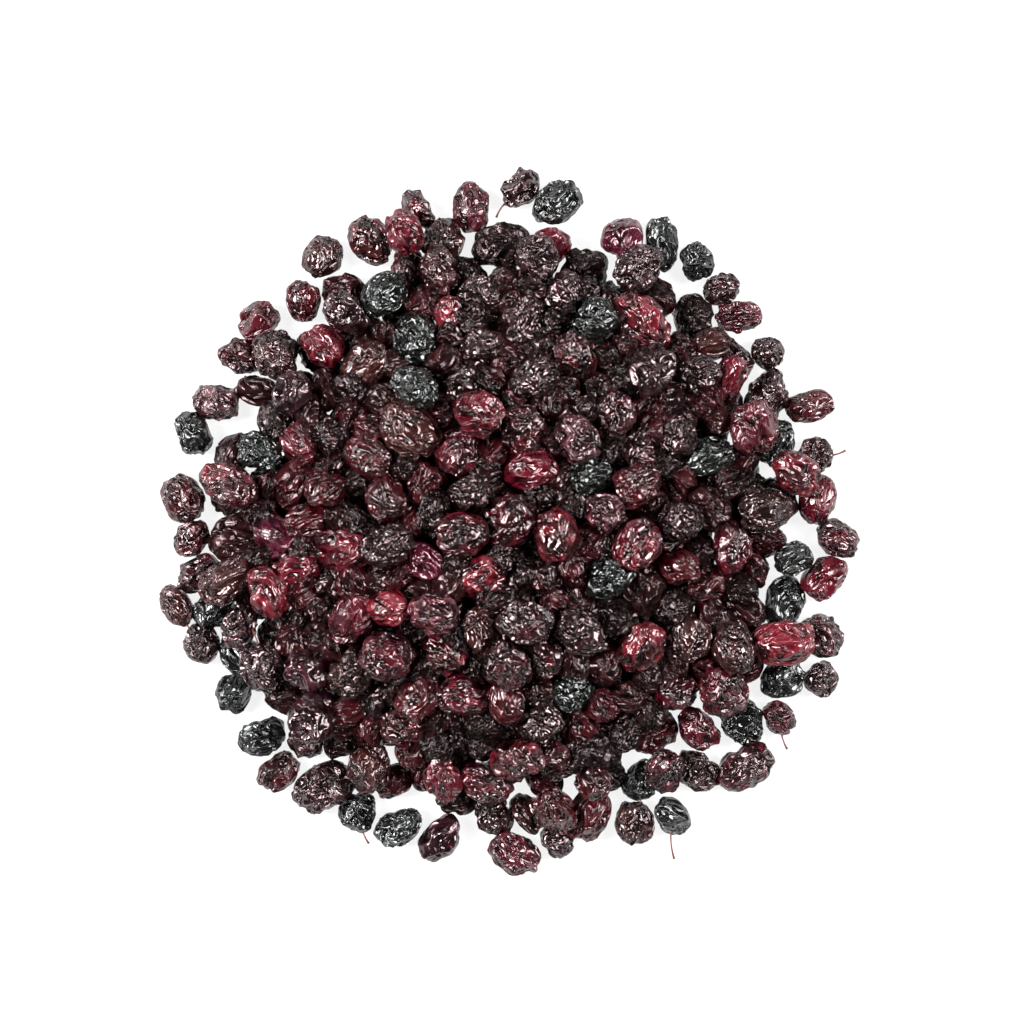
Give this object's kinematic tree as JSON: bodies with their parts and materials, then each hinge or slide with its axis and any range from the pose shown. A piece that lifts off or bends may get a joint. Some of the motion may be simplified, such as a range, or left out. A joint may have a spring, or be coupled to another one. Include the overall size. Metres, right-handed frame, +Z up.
{
  "type": "raisin heap",
  "caption": "Low round heap of small dark wrinkled raisins lying loose on a flat surface, with a ragged rim one raisin deep.",
  "frame": {"origin": "middle of the flat base that the heap lies on", "axes": "+Z up out of the surface under the heap, +X to the right and +Y away as seen with the picture upright"},
  "size_m": [0.1514, 0.1531, 0.026],
  "materials": {
    "raisin_skin": "dark plum-red wrinkled skin with an oily gloss, varying from near black to crimson"
  },
  "bodies": {
    "root": {"raisin_heap": "raisin_skin"}
  },
  "joints": []
}
